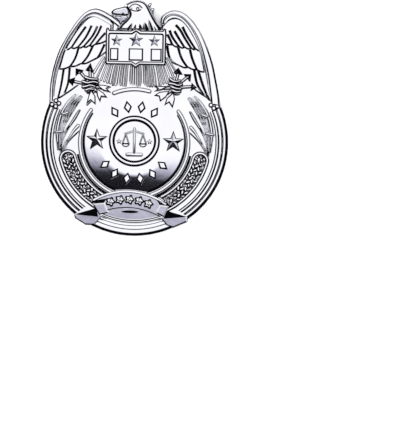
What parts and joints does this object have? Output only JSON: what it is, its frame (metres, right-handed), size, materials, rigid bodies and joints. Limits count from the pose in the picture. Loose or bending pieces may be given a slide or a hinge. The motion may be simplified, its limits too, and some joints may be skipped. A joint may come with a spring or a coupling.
{
  "type": "police badge",
  "caption": "Round chromed badge with an eagle, spread wings, a domed disc and a ribbon, hollow at the back, with a spring clip.",
  "frame": {"origin": "on the surface that the badge lies on, under the middle of its box: the badge lies on the flat back of its clip, face up", "axes": "+X to the right as the face is looked at, +Y up the badge to the eagle's head, +Z out of the face"},
  "size_m": [0.0654, 0.0823, 0.0104],
  "materials": {
    "chrome": "bright vacuum-plated chrome on moulded plastic",
    "chrome_back": "bright vacuum-plated chrome on moulded plastic, flat and slightly wavy"
  },
  "bodies": {
    "root": {"shell": "chrome", "strap": "chrome_back", "clip_tongue": "chrome_back"}
  },
  "joints": []
}
